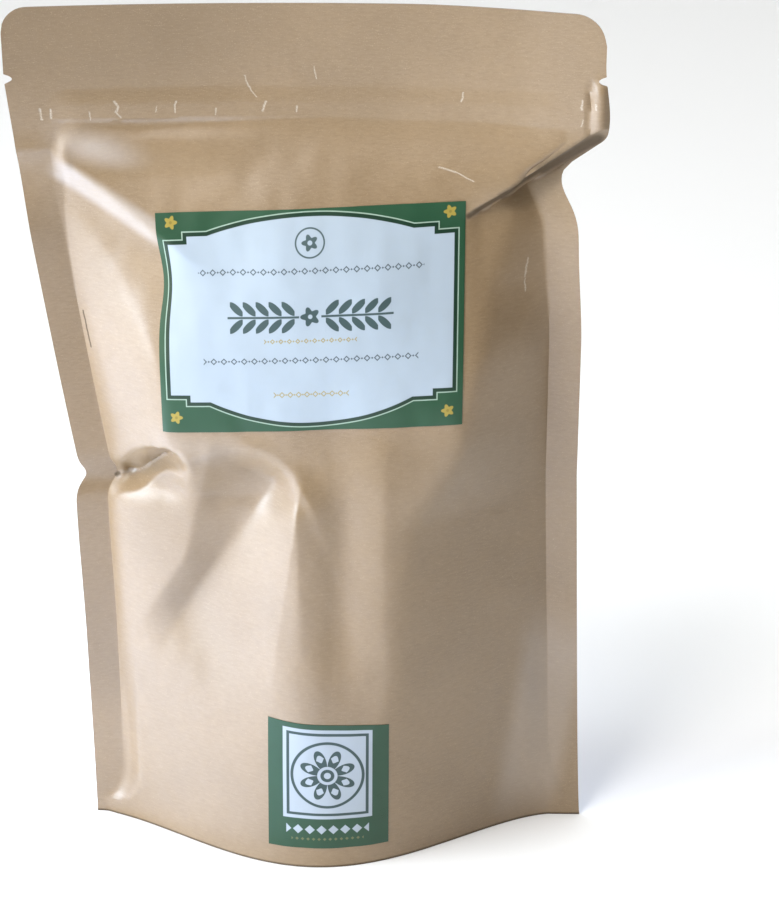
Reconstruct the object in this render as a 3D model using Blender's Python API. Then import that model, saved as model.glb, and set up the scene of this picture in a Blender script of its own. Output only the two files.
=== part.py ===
"""Stand-up paper pouch, sealed and filled with dried mushroom fronds.

The sheets are height fields over the front view: every panel, label and strip
is laid out from the same outline and depth functions, in millimetres, and
turned into metres as its mesh is made.
"""

import bpy
import numpy as np

MM = 0.001

# Outline, millimetres
HEIGHT = 243.8
HALF_SEAL_GAP = 0.15
SHEET = 0.45
SIDE_SEAL = 8.7
LEFT_CORNER_R = 6.5
RIGHT_CORNER_R = 8.0
NOTCH_Z = 225.5
NOTCH_R = 2.2
X_SHIFT = 6.076
Y_SHIFT = 0.87

# Body
BASE_DEPTH = 30.6
DEPTH_TOP_Z = 216.0
LEFT_SLOPE = 0.47
RIGHT_SLOPE = 0.62
BACK_SLOPE = 0.56
ZIP_LOW = 213.4
ZIP_HIGH = 219.4
ZIP_HALF = 1.8

# Gusset
GUSSET_LEG = 40.0
GUSSET_SKIRT = 7.0
GUSSET_GAP = 0.3

# Labels: lower left corner, lower right, upper right, upper left (x, z)
MAIN_LABEL = ((-47.0, 128.4), (35.6, 131.8), (36.3, 191.0), (-47.6, 188.0))
SQUARE_LABEL = ((-19.0, 7.4), (15.7, 7.1), (15.9, 46.0), (-18.5, 47.3))
LABEL_THICK = 0.35
LABEL_GAP = 0.3


def ease(low, high, value):
    t = np.clip((value - low) / (high - low), 0.0, 1.0)
    return t * t * (3.0 - 2.0 * t)


def bump(value, middle, width):
    return np.exp(-(((value - middle) / width) ** 2))


def tent(distance, width, soft=0.8):
    """A crisp ridge across a line, one high on it and zero at the width."""
    d = np.sqrt(distance * distance + soft * soft) - soft
    return np.clip(1.0 - d / width, 0.0, None) ** 2


def smooth_min(a, b, k):
    return 0.5 * (a + b - np.sqrt((a - b) ** 2 + k * k))


def left_edge(z):
    z = np.asarray(z, dtype=float)
    low = -73.0 - 0.7 * ease(60.0, 100.0, z)
    rise = np.clip((z - 113.0) / 114.0, 0.0, 1.0)
    high = -72.2 - 0.1245 * np.clip(z - 113.0, 0.0, None) - np.sin(np.pi * rise)
    blend = ease(103.0, 113.0, z)
    edge = low * (1.0 - blend) + high * blend + 1.6 * bump(z, 111.0, 3.0)
    return np.maximum(edge, -86.2)


def right_edge(z):
    z = np.asarray(z, dtype=float)
    edge = 73.1 - 4.4 * np.clip(z / 112.0, 0.0, 1.0) ** 0.8
    edge = edge - 1.6 * ease(150.0, 182.0, z)
    edge = edge - 5.0 * bump(z, 197.2, 8.0)
    return edge + 7.0 * ease(198.5, 210.5, z) - 1.6 * ease(214.0, 230.0, z)


def notch(z):
    inside = np.clip(1.0 - ((z - NOTCH_Z) / NOTCH_R) ** 2, 0.0, None)
    return NOTCH_R * np.sqrt(inside)


def middle(x, z):
    """The surface that both side seals and the flat header follow."""
    bow = 8.0 * (1.0 - ((x + 6.1) / 80.0) ** 2) - 4.0
    curl = -3.0 * ease(52.0, 76.0, x) * ease(200.0, 214.0, z)
    neck = 4.5 * bump(z, 196.0, 7.5) * ease(38.0, 64.0, x)
    pinch = 1.6 * bump(z, 110.5, 5.0) * ease(-50.0, -66.0, x)
    return bow * ease(150.0, 225.0, z) + curl + neck + pinch


def belly(z):
    t = np.clip(z, 0.0, DEPTH_TOP_Z) / DEPTH_TOP_Z
    return BASE_DEPTH * np.clip(1.0 - t ** 2.1, 0.0, 1.0) ** 0.8


def foot_curve(x, z, shift):
    a = left_edge(z)
    b = right_edge(z)
    u = (2.0 * x - a - b) / (b - a) + shift
    return np.cos(0.5 * np.pi * np.clip(np.abs(u) / 0.94, 0.0, 1.0)) ** 1.5


def zip_room(z):
    return ZIP_HALF * ease(209.0, 212.5, z) * (1.0 - ease(220.4, 223.0, z))


def front_dents(x, z):
    """Forward rise (mm) of the named folds of the filled front."""
    # fold that runs down the middle, and its softer neighbour
    fold = 2.3 * tent(x + 8.7 + 0.02 * (z - 60.0), 22.0)
    fold = fold * ease(-10.0, 30.0, z) * (1.0 - ease(112.0, 124.0, z))
    second = 1.3 * tent(x - 14.7, 15.0, 1.6) * ease(35.0, 70.0, z)
    second = second * (1.0 - ease(125.0, 150.0, z))
    # long trough from under the label towards the lower left
    along = (x + 19.0) * -0.453 + (z - 119.0) * -0.891
    across = (x + 19.0) * 0.891 + (z - 119.0) * -0.453
    wide = np.where(across > 0.0, 10.0 + 0.36 * np.clip(along, 0.0, 80.0), 15.0)
    trough = np.clip(1.0 - (across / wide) ** 2, 0.0, None) ** 2
    trough = trough * ease(-8.0, 4.0, along) * (1.0 - ease(10.0, 74.0, along))
    # bean-shaped dent that starts at the pinch in the left side
    ridge_z = 121.5 - 0.028 * (x + 49.0) ** 2 * np.where(x < -49.0, 1.0, 1.8)
    valley_z = 104.0 + 12.0 * ease(-57.0, -43.0, x)
    drop = np.clip(ridge_z - z, 0.0, None)
    facet = np.clip(drop / np.clip(ridge_z - valley_z, 2.0, None), 0.0, 1.0)
    fade = 1.0 - ease(0.0, 22.0, valley_z - z)
    dent = 4.4 * facet * fade * ease(-66.0, -58.0, x) * (1.0 - ease(-54.0, -40.0, x))
    # soft hollow between the two folds, and the pushed-in left side of the label
    hollow = 1.0 * bump(x, 3.0, 5.0) * bump(z, 92.0, 28.0)
    side = 1.5 * bump(x, -50.0, 9.0) * bump(z, 160.0, 14.0)
    return fold + second - 4.6 * trough - dent - hollow - side


def flap_fold(x, z):
    """Step back under the folded-over right end of the header."""
    t = np.clip((x - 36.3) / 35.4, 0.0, 1.0)
    line = 188.5 + 20.6 * t + 1.0 * np.sin(np.pi * t)
    below = (line - z) * 0.86
    step = ease(0.0, 2.6, below) * np.exp(-np.clip(below - 2.6, 0.0, None) / 11.0)
    lift = 1.6 * t * bump(below, -1.0, 6.0)
    return lift - 6.0 * t * step


def front_depth(x, z):
    """Forward distance (mm) of the inner front face from the middle surface."""
    a = left_edge(z) + SIDE_SEAL
    b = right_edge(z) - SIDE_SEAL
    top = belly(z)
    body = smooth_min(LEFT_SLOPE * (x - a), RIGHT_SLOPE * (b - x), 3.0)
    body = smooth_min(body, top, 3.5)
    foot = BASE_DEPTH * foot_curve(x, z, 0.04)
    blend = ease(0.0, 78.0, z)
    body = np.clip(foot * (1.0 - blend) + body * blend, 0.0, None)
    body = body + front_dents(x, z) * np.clip(body / 6.0, 0.0, 1.0)
    flap = flap_fold(x, z) * ease(0.0, 5.0, b + 6.0 - x)
    upper = ease(168.0, 182.0, z) * (1.0 - ease(210.0, 214.0, z))
    body = body + flap * upper * np.clip(body / 4.0, 0.25, 1.0)
    side = ease(0.0, 4.0, x - a + 0.5) * ease(0.0, 4.0, b + 0.5 - x)
    return HALF_SEAL_GAP + np.maximum(np.clip(body, 0.0, None), zip_room(z)) * side


def back_depth(x, z):
    a = left_edge(z) + SIDE_SEAL
    b = right_edge(z) - SIDE_SEAL
    body = smooth_min(BACK_SLOPE * (x - a), BACK_SLOPE * (b - x), 3.0)
    body = smooth_min(body, 0.96 * belly(z), 4.0)
    foot = BASE_DEPTH * foot_curve(x, z, 0.0)
    blend = ease(0.0, 78.0, z)
    body = foot * (1.0 - blend) + body * blend
    fold = 1.8 * tent(x + 14.0 - 0.10 * (z - 90.0), 20.0) * bump(z, 80.0, 50.0)
    hollow = 3.2 * bump(x - 24.0 + 0.25 * (z - 120.0), 0.0, 14.0) * bump(z, 118.0, 26.0)
    body = np.clip(body, 0.0, None)
    body = np.clip(body + (fold - hollow) * np.clip(body / 8.0, 0.0, 1.0), 0.0, None)
    side = ease(0.0, 4.0, x - a + 0.5) * ease(0.0, 4.0, b + 0.5 - x)
    return HALF_SEAL_GAP + np.maximum(body, zip_room(z)) * side


def front_inner(x, z):
    return middle(x, z) - front_depth(x, z)


def back_inner(x, z):
    return middle(x, z) + back_depth(x, z)


def steepness(face, x, z):
    """Length along y of one unit measured square to the sheet."""
    h = 0.4
    dx = (face(x + h, z) - face(x - h, z)) / (2.0 * h)
    dz = (face(x, z + h) - face(x, z - h)) / (2.0 * h)
    return np.clip(np.sqrt(1.0 + dx * dx + dz * dz), 1.0, 1.8)


def top_line(x):
    """Height of the header's top edge, with its two rounded corners."""
    left = np.clip(LEFT_CORNER_R - (x + 86.2), 0.0, LEFT_CORNER_R)
    right = np.clip(RIGHT_CORNER_R - (72.3 - x), 0.0, RIGHT_CORNER_R)
    fall = LEFT_CORNER_R - np.sqrt(np.clip(LEFT_CORNER_R ** 2 - left ** 2, 0.0, None))
    fall_r = RIGHT_CORNER_R - np.sqrt(np.clip(RIGHT_CORNER_R ** 2 - right ** 2, 0.0, None))
    return HEIGHT - 1.4 * ease(20.0, 72.0, x) - fall - fall_r


def panel_grid(rows, columns):
    """x and z of a panel's grid, rows upwards and columns to the right."""
    z = np.repeat(np.asarray(rows, dtype=float)[:, None], len(columns), axis=1)
    u = np.repeat(np.asarray(columns, dtype=float)[None, :], len(rows), axis=0)
    cut = notch(z)
    a = left_edge(z) + cut
    b = right_edge(z) - cut
    inner_a = left_edge(z) + SIDE_SEAL
    inner_b = right_edge(z) - SIDE_SEAL
    seal = 0.885
    x = inner_a + (u / seal * 0.5 + 0.5) * (inner_b - inner_a)
    out = (np.abs(u) - seal) / (1.0 - seal)
    x = np.where(u < -seal, inner_a + (a - inner_a) * out, x)
    x = np.where(u > seal, inner_b + (b - inner_b) * out, x)
    band = HEIGHT - 14.0
    z_top = band + (z - band) * (top_line(x) - band) / 14.0
    return x, np.where(z > band, z_top, z)


def add_object(name, verts, faces, colour, roughness):
    mesh = bpy.data.meshes.new(name)
    place = np.asarray(verts, dtype=float) + np.array([X_SHIFT, Y_SHIFT, 0.0])
    mesh.from_pydata((place * MM).tolist(), [], faces)
    mesh.validate()
    mesh.update()
    material = bpy.data.materials.new(name)
    material.use_nodes = True
    shader = material.node_tree.nodes["Principled BSDF"]
    shader.inputs["Base Color"].default_value = (*colour, 1.0)
    shader.inputs["Roughness"].default_value = roughness
    material.diffuse_color = (*colour, 1.0)
    mesh.materials.append(material)
    obj = bpy.data.objects.new(name, mesh)
    bpy.context.scene.collection.objects.link(obj)
    return obj


def sheet_solid(name, x, z, near, far, colour, roughness):
    """A closed sheet between two y grids over the same x and z, near in front."""
    rows, cols = x.shape
    front = np.stack([x, near, z], axis=-1).reshape(-1, 3)
    back = np.stack([x, far, z], axis=-1).reshape(-1, 3)
    verts = np.concatenate([front, back])
    step = rows * cols
    faces = []
    for i in range(rows - 1):
        for j in range(cols - 1):
            a = i * cols + j
            b = a + 1
            c = b + cols
            d = a + cols
            faces.append((a, b, c, d))
            faces.append((a + step, d + step, c + step, b + step))
    for j in range(cols - 1):
        low = j
        high = (rows - 1) * cols + j
        faces.append((low + 1, low, low + step, low + 1 + step))
        faces.append((high, high + 1, high + 1 + step, high + step))
    for i in range(rows - 1):
        left = i * cols
        right = i * cols + cols - 1
        faces.append((left, left + cols, left + cols + step, left + step))
        faces.append((right + cols, right, right + step, right + cols + step))
    return add_object(name, verts, faces, colour, roughness)


def spread(*parts):
    """Runs of evenly spaced values: (start, end, count) each, ends joined."""
    values = []
    for start, end, count in parts:
        values.extend(np.linspace(start, end, count, endpoint=False))
    values.append(parts[-1][1])
    return values


def panel_rows():
    rows = spread((0.0, 4.0, 1), (4.0, 88.0, 9), (88.0, 128.0, 8), (128.0, 180.0, 6))
    rows = rows[:-1] + spread((180.0, 212.0, 7), (212.0, 223.2, 4))[:-1]
    return rows + [223.3, 224.1, 225.5, 226.9, 227.7, 234.0, 239.0, HEIGHT]


def half_columns(count):
    seal = [1.0, 0.985, 0.945, 0.885, 0.83]
    inner = list(np.linspace(0.83, 0.0, count + 1))[1:]
    return seal + inner


def mirrored(values):
    return [-v for v in values] + list(reversed(values[:-1]))


def build_front():
    x, z = panel_grid(panel_rows(), mirrored(half_columns(10)))
    far = front_inner(x, z)
    near = far - SHEET * steepness(front_inner, x, z)
    return sheet_solid("front_panel", x, z, near, far, (0.45, 0.31, 0.20), 0.62)


def build_back():
    x, z = panel_grid(panel_rows(), mirrored(half_columns(7)))
    near = back_inner(x, z)
    far = near + SHEET * steepness(back_inner, x, z)
    return sheet_solid("back_panel", x, z, near, far, (0.44, 0.30, 0.19), 0.62)


def build_gusset():
    """Folded bottom sheet: a skirt inside each panel and a tent between them."""
    columns = np.linspace(-0.80, 0.80, 21)
    a = left_edge(0.0)
    b = right_edge(0.0)
    rings_out = []
    rings_in = []
    for u in columns:
        x = 0.5 * (a + b) + 0.5 * (b - a) * u
        front = front_inner(x, 0.0) + GUSSET_GAP * steepness(front_inner, x, 1.0)
        back = back_inner(x, 0.0) - GUSSET_GAP * steepness(back_inner, x, 1.0)
        half = 0.5 * (back - front)
        centre = 0.5 * (back + front)
        rise = np.sqrt(max((GUSSET_LEG - GUSSET_SKIRT) ** 2 - half ** 2, 1.0))
        path = [(front, 0.0)]
        skirt = GUSSET_SKIRT
        path.append((front_inner(x, skirt) + GUSSET_GAP * 1.5, skirt))
        for share in (0.3, 0.62, 0.88):
            path.append((centre - half * (1.0 - share), skirt + rise * share ** 0.9))
        path.append((centre, skirt + rise))
        for share in (0.88, 0.62, 0.3):
            path.append((centre + half * (1.0 - share), skirt + rise * share ** 0.9))
        path.append((back_inner(x, skirt) - GUSSET_GAP * 1.5, skirt))
        path.append((back, 0.0))
        path = np.array([(float(p), float(q)) for p, q in path])
        along = np.gradient(path, axis=0)
        along = along / np.linalg.norm(along, axis=1)[:, None]
        inward = np.stack([along[:, 1], -along[:, 0]], axis=1)
        inward[0] = (1.0, 0.0)
        inward[-1] = (-1.0, 0.0)
        inner = path + inward * SHEET * 0.9
        rings_out.append([(x, p, q) for p, q in path])
        rings_in.append([(x, p, q) for p, q in inner])
    outer = np.array(rings_out, dtype=float)
    inner = np.array(rings_in, dtype=float)
    rows, cols = outer.shape[:2]
    verts = np.concatenate([outer.reshape(-1, 3), inner.reshape(-1, 3)])
    step = rows * cols
    faces = []
    for i in range(rows - 1):
        for j in range(cols - 1):
            p = i * cols + j
            q = p + 1
            r = q + cols
            s = p + cols
            faces.append((p, q, r, s))
            faces.append((p + step, s + step, r + step, q + step))
    for j in range(cols - 1):
        end = (rows - 1) * cols + j
        faces.append((j + 1, j, j + step, j + 1 + step))
        faces.append((end, end + 1, end + 1 + step, end + step))
    for i in range(rows - 1):
        low = i * cols
        high = low + cols - 1
        faces.append((low, low + cols, low + cols + step, low + step))
        faces.append((high + cols, high, high + step, high + cols + step))
    faces = [tuple(reversed(face)) for face in faces]
    return add_object("bottom_gusset", verts, faces, (0.42, 0.29, 0.18), 0.62)


def label_grid(corners, columns, rows):
    s = np.linspace(0.0, 1.0, columns)[None, :]
    t = np.linspace(0.0, 1.0, rows)[:, None]
    low_left, low_right, top_right, top_left = [np.array(c) for c in corners]
    low = low_left[None, None] + (low_right - low_left)[None, None] * s[..., None]
    top = top_left[None, None] + (top_right - top_left)[None, None] * s[..., None]
    place = low + (top - low) * t[..., None]
    return place[..., 0], place[..., 1]


def panel_face(x, z):
    """y of the outer front face as the panel's own grid of flat facets has it."""
    rows = np.array(panel_rows())
    cols = np.array(mirrored(half_columns(10)))
    gx, gz = panel_grid(rows, cols)
    inner = front_inner(gx, gz)
    outer = inner - SHEET * steepness(front_inner, gx, gz)
    i = np.clip(np.searchsorted(rows, z, side="right") - 1, 0, len(rows) - 2)
    v = (z - rows[i]) / (rows[i + 1] - rows[i])
    best = np.full(x.shape, 1e9)
    for j in range(len(cols) - 1):
        left = gx[i, j] * (1.0 - v) + gx[i + 1, j] * v
        right = gx[i, j + 1] * (1.0 - v) + gx[i + 1, j + 1] * v
        u = (x - left) / (right - left)
        low = outer[i, j] * (1.0 - u) + outer[i, j + 1] * u
        high = outer[i + 1, j] * (1.0 - u) + outer[i + 1, j + 1] * u
        y = low * (1.0 - v) + high * v
        inside = (u >= -1e-6) & (u <= 1.0 + 1e-6)
        best = np.where(inside & (best > 1e8), y, best)
    return best


def build_label(name, corners, columns, rows, colour):
    x, z = label_grid(corners, columns, rows)
    lift = LABEL_GAP * steepness(front_inner, x, z) + 0.35
    far = panel_face(x, z) - lift
    near = far - LABEL_THICK
    return sheet_solid(name, x, z, near, far, colour, 0.3)


def build_zip(name, side, profile, colour):
    """A moulded strip swept along the inside of the header."""
    seal = SIDE_SEAL + 4.6
    a = float(left_edge(216.0)) + seal
    b = float(right_edge(216.0)) - seal
    verts = []
    count = 20
    for k in range(count + 1):
        x = a + (b - a) * k / count
        for depth, z in profile:
            verts.append((x, float(middle(x, z)) + side * depth, z))
    n = len(profile)
    faces = []
    for k in range(count):
        for m in range(n):
            p = k * n + m
            q = k * n + (m + 1) % n
            faces.append((p, q, q + n, p + n) if side > 0 else (q, p, p + n, q + n))
    first = tuple(range(n))
    last = tuple(range(count * n, count * n + n))
    faces.append(tuple(reversed(first)) if side > 0 else first)
    faces.append(last if side > 0 else tuple(reversed(last)))
    faces = [tuple(reversed(face)) for face in faces]
    return add_object(name, verts, faces, colour, 0.35)


def build_zips():
    socket = [(1.25, 213.4), (0.85, 213.4), (0.85, 215.0), (0.2, 215.0), (0.2, 215.6), (0.85, 215.6)]
    socket += [(0.85, 217.2), (0.2, 217.2), (0.2, 217.8), (0.85, 217.8), (0.85, 219.4), (1.25, 219.4)]
    ridge = [(1.25, 213.4), (0.85, 213.4), (0.85, 216.0), (-0.25, 216.0), (-0.25, 216.8), (0.85, 216.8)]
    ridge += [(0.85, 219.4), (1.25, 219.4)]
    socket_part = build_zip("zip_socket", -1.0, socket, (0.75, 0.74, 0.70))
    ridge_part = build_zip("zip_ridge", 1.0, ridge, (0.75, 0.74, 0.70))
    return socket_part, ridge_part


def frond_mesh(seed, size, turn, tilt):
    """One dried frond: a wavy, lobed fan that narrows to a stub of stalk."""
    rng = np.random.default_rng(seed)
    phase = rng.uniform(0.0, 6.283, 4)
    around, steps = 14, 7
    verts = []
    for i in range(steps + 1):
        v = np.pi * i / steps
        for j in range(around):
            w = 2.0 * np.pi * j / around
            reach = 1.0 + 0.16 * np.sin(5.0 * w + phase[0]) + 0.10 * np.sin(3.0 * w + phase[1])
            wide = np.sin(v) * reach
            px = np.cos(w) * wide
            py = np.sin(w) * wide
            stalk = 0.55 * np.clip(-py, 0.0, 1.0) ** 2
            px = px * (1.0 - stalk)
            py = py * (1.0 + 0.45 * np.clip(-py, 0.0, 1.0))
            wave = 0.16 * np.sin(3.2 * px + phase[2]) + 0.12 * np.sin(4.1 * py + phase[3])
            pz = 0.17 * np.cos(v) * (1.0 + 0.5 * stalk) + wave * np.sin(v)
            if i in (0, steps) and j > 0:
                continue
            verts.append((px, py, pz))
    faces = []
    ring = lambda i, j: 1 + (i - 1) * around + j % around
    last = len(verts) - 1
    for j in range(around):
        faces.append((0, ring(1, j), ring(1, j + 1)))
        faces.append((last, ring(steps - 1, j + 1), ring(steps - 1, j)))
        for i in range(1, steps - 1):
            faces.append((ring(i, j), ring(i + 1, j), ring(i + 1, j + 1), ring(i, j + 1)))
    place = np.array(verts) * size
    c, s = np.cos(tilt), np.sin(tilt)
    place = place @ np.array([[1.0, 0.0, 0.0], [0.0, c, s], [0.0, -s, c]])
    c, s = np.cos(turn), np.sin(turn)
    place = place @ np.array([[c, s, 0.0], [-s, c, 0.0], [0.0, 0.0, 1.0]])
    return place, faces


def inside_cavity(place, room=2.4):
    """Presses a piece softly between the two panels."""
    front = front_inner(place[:, 0], place[:, 2]) + room
    back = back_inner(place[:, 0], place[:, 2]) - room
    half = np.clip(0.5 * (back - front), 0.8, None)
    centre = 0.5 * (front + back)
    pressed = place.copy()
    pressed[:, 1] = centre + half * np.tanh((place[:, 1] - centre) / half)
    return pressed


def build_fronds():
    """A loose pile: three layers that rest on the tent of the gusset."""
    layers = [
        (59.0, ((-36.0, -3.0, 12.0), (-5.0, 0.0, 12.6), (27.0, 2.0, 12.4))),
        (89.0, ((-35.0, 3.0, 11.6), (-4.0, -2.0, 12.8), (28.0, 1.0, 12.0))),
        (119.0, ((-26.0, 3.0, 11.4), (8.0, -2.0, 12.4))),
    ]
    parts = []
    number = 0
    for height, spots in layers:
        for x, y, size in spots:
            number += 1
            turn = 0.5 - 0.4 * (number % 3)
            tilt = 0.55 + 0.25 * (number % 3)
            place, faces = frond_mesh(number, size, turn, tilt)
            place = inside_cavity(place + np.array([x, y, height]))
            name = "dried_frond_%d" % number
            parts.append(add_object(name, place, faces, (0.30, 0.22, 0.14), 0.85))
    return parts


def main():
    for old in list(bpy.data.objects):
        bpy.data.objects.remove(old, do_unlink=True)
    build_front()
    build_back()
    build_gusset()
    build_label("main_label", MAIN_LABEL, 14, 10, (0.62, 0.68, 0.74))
    build_label("square_label", SQUARE_LABEL, 8, 8, (0.05, 0.16, 0.10))
    build_zips()
    build_fronds()
    low = np.full(3, 1e9)
    high = np.full(3, -1e9)
    triangles = 0
    for obj in bpy.data.objects:
        points = np.array([v.co for v in obj.data.vertices])
        low = np.minimum(low, points.min(axis=0))
        high = np.maximum(high, points.max(axis=0))
        count = sum(len(p.vertices) - 2 for p in obj.data.polygons)
        triangles += count
        print(obj.name, "triangles", count)
    print("bounds mm", np.round(low * 1000.0, 3), np.round(high * 1000.0, 3))
    print("centre mm", np.round((low + high) * 500.0, 4), "triangles", triangles)


main()
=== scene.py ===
import math

import bpy
import numpy as np
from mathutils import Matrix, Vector


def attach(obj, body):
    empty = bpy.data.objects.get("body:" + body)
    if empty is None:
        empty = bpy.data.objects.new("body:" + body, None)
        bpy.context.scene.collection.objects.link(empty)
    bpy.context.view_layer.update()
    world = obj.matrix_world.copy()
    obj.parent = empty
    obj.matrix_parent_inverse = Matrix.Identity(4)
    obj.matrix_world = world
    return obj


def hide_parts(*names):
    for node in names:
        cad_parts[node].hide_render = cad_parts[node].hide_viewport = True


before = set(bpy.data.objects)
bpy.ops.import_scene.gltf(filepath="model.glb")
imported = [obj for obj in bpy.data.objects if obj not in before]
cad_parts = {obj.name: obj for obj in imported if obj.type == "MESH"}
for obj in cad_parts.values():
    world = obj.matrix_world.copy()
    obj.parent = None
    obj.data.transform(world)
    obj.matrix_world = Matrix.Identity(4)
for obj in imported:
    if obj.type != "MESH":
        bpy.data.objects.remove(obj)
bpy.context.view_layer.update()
print("frame loaded")

mm = 0.001


def ease(low, high, value):
    t = np.clip((value - low) / (high - low), 0.0, 1.0)
    return t * t * (3.0 - 2.0 * t)


def bump(value, centre, width):
    return np.exp(-((value - centre) / width) ** 2)


def tent(distance, width, soft=0.8):  # a crisp ridge: 1 on the line, 0 at the width
    d = np.sqrt(distance * distance + soft * soft) - soft
    return np.clip(1.0 - d / width, 0.0, None) ** 2


def smoothMin(a, b, k):
    return 0.5 * (a + b - np.sqrt((a - b) ** 2 + k * k))


def makeNoise(seed, cells=64):  # smooth noise in -1..1 over a repeating grid of cells
    values = np.random.default_rng(seed).uniform(-1.0, 1.0, (cells, cells))

    def noise(x, z):
        i, j = np.floor(x).astype(int), np.floor(z).astype(int)
        u, v = x - i, z - j
        u, v = u * u * (3 - 2 * u), v * v * (3 - 2 * v)
        left, right = i % cells, (i + 1) % cells
        foot, top = j % cells, (j + 1) % cells
        low = values[left, foot] * (1 - u) + values[right, foot] * u
        high = values[left, top] * (1 - u) + values[right, top] * u
        return low * (1 - v) + high * v

    return noise


pouch = {  # millimetres, in the photo's frame
    "height": 243.8,
    "sideSeal": 8.7,
    "sealGap": 0.12,  # from the middle surface to each sheet's inner face
    "sheet": 0.3,
    "leftCorner": 6.5,
    "rightCorner": 8.0,
    "notchZ": 225.1,
    "notchDeep": 2.1,
    "notchHalf": 1.2,
    "shift": (6.076, 0.87, 0.0),  # from the photo's frame to the part's
    "baseDepth": 30.6,
    "fullDepth": 22.5,
    "openTop": 216.0,  # where the sheets start to part, in the middle
    "leftSlope": 0.29,
    "leftRise": 7.0,
    "leftRound": 8.0,
    "rightSlope": 0.60,
    "backSlope": 0.56,
    "zipHalf": 0.5,
    "rippleDeep": 0.30,
    "leftMost": -86.2,
    "rightMost": 72.3,
    "rightDrop": 1.4,  # the top line falls by this much to the right
    "topBand": 14.0,  # the rows over this much of the top follow the top line
    "sealShare": 0.885,  # the share of a half sheet that lies between the seals
    "flapFrom": 36.3,
    "flapLong": 35.4,
    "flapLow": 189.4,
    "flapRise": 23.2,
    "flapSag": 0.9,
    "flapForward": 18.0,
    "headerBow": 8.0,
    "stripLow": 212.8,
    "stripHigh": 217.0,
    "pinchAt": -45.0,
    "pinchTop": 126.3,
    "pinchDeep": 5.6,
    "troughDeep": 5.7,  # the slanting facet to the left of the long crease
    "foldHigh": 2.6,  # the long crease under the main label
    "secondFoldHigh": 1.3,
    "shoulderHigh": 2.0,  # the ridge under the left shoulder
    "patchHigh": 1.8,
    "footFoldHigh": 1.1,
    "hollowDeep": 1.0,
    "backFoldHigh": 1.8,
    "backHollowDeep": 3.2,
    "backRippleDeep": 0.35,
    "fineRippleDeep": 0.1,
    "frontRows": 262,
    "frontColumns": 178,
    "backRows": 262,
    "backColumns": 150,
}
softRipple = makeNoise(3)
fineRipple = makeNoise(8)
backRipple = makeNoise(21)


def leftEdge(z):
    low = -73.0 - 0.7 * ease(60.0, 100.0, z)
    rise = np.clip((z - 113.0) / 114.0, 0.0, 1.0)
    high = -72.2 - 0.1245 * np.clip(z - 113.0, 0.0, None) - np.sin(np.pi * rise)
    blend = ease(103.0, 113.0, z)
    edge = low * (1 - blend) + high * blend + 1.6 * bump(z, 111.0, 3.0)
    return np.maximum(edge, pouch["leftMost"])


def rightEdge(z):
    edge = 73.1 - 4.4 * np.clip(z / 112.0, 0.0, 1.0) ** 0.8
    edge = edge - 1.6 * ease(150.0, 182.0, z) - 5.0 * bump(z, 197.2, 8.0)
    return edge + 7.0 * ease(198.5, 210.5, z) - 1.6 * ease(214.0, 230.0, z)


def notchCut(z):
    off = (z - pouch["notchZ"]) / pouch["notchHalf"]
    return pouch["notchDeep"] * np.clip(1.0 - off * off, 0.0, None) ** 0.8


def topLine(x):
    rl, rr = pouch["leftCorner"], pouch["rightCorner"]
    left = np.clip(rl - (x - pouch["leftMost"]), 0.0, rl)
    right = np.clip(rr - (pouch["rightMost"] - x), 0.0, rr)
    fall = rl - np.sqrt(np.clip(rl ** 2 - left ** 2, 0.0, None))
    fall = fall + rr - np.sqrt(np.clip(rr ** 2 - right ** 2, 0.0, None))
    return pouch["height"] - pouch["rightDrop"] * ease(20.0, 72.0, x) - fall


def flapLine(x):  # where the right end of the header folds over: its height, and how far along
    t = np.clip((x - pouch["flapFrom"]) / pouch["flapLong"], 0.0, 1.0)
    return pouch["flapLow"] + pouch["flapRise"] * t - pouch["flapSag"] * np.sin(np.pi * t), t


def flapPlane(x, z):  # the flap's end is carried forward, so that it stays in the header's plane
    low = np.clip(pouch["openTop"] - 3.0 - z, 0.0, None)
    line = flapLine(x)[0]
    lift = pouch["flapForward"] * (1.0 - np.exp(-low * low / (low + 20.0) / 24.0))
    return lift * ease(30.0, 56.0, x) * ease(-1.2, 0.5, z - line)


def pinchLip(x):  # the height of the pinch's upper edge
    off = x - pouch["pinchAt"]
    return pouch["pinchTop"] - off ** 2 * np.where(x < pouch["pinchAt"], 0.038, 0.10)


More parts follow.
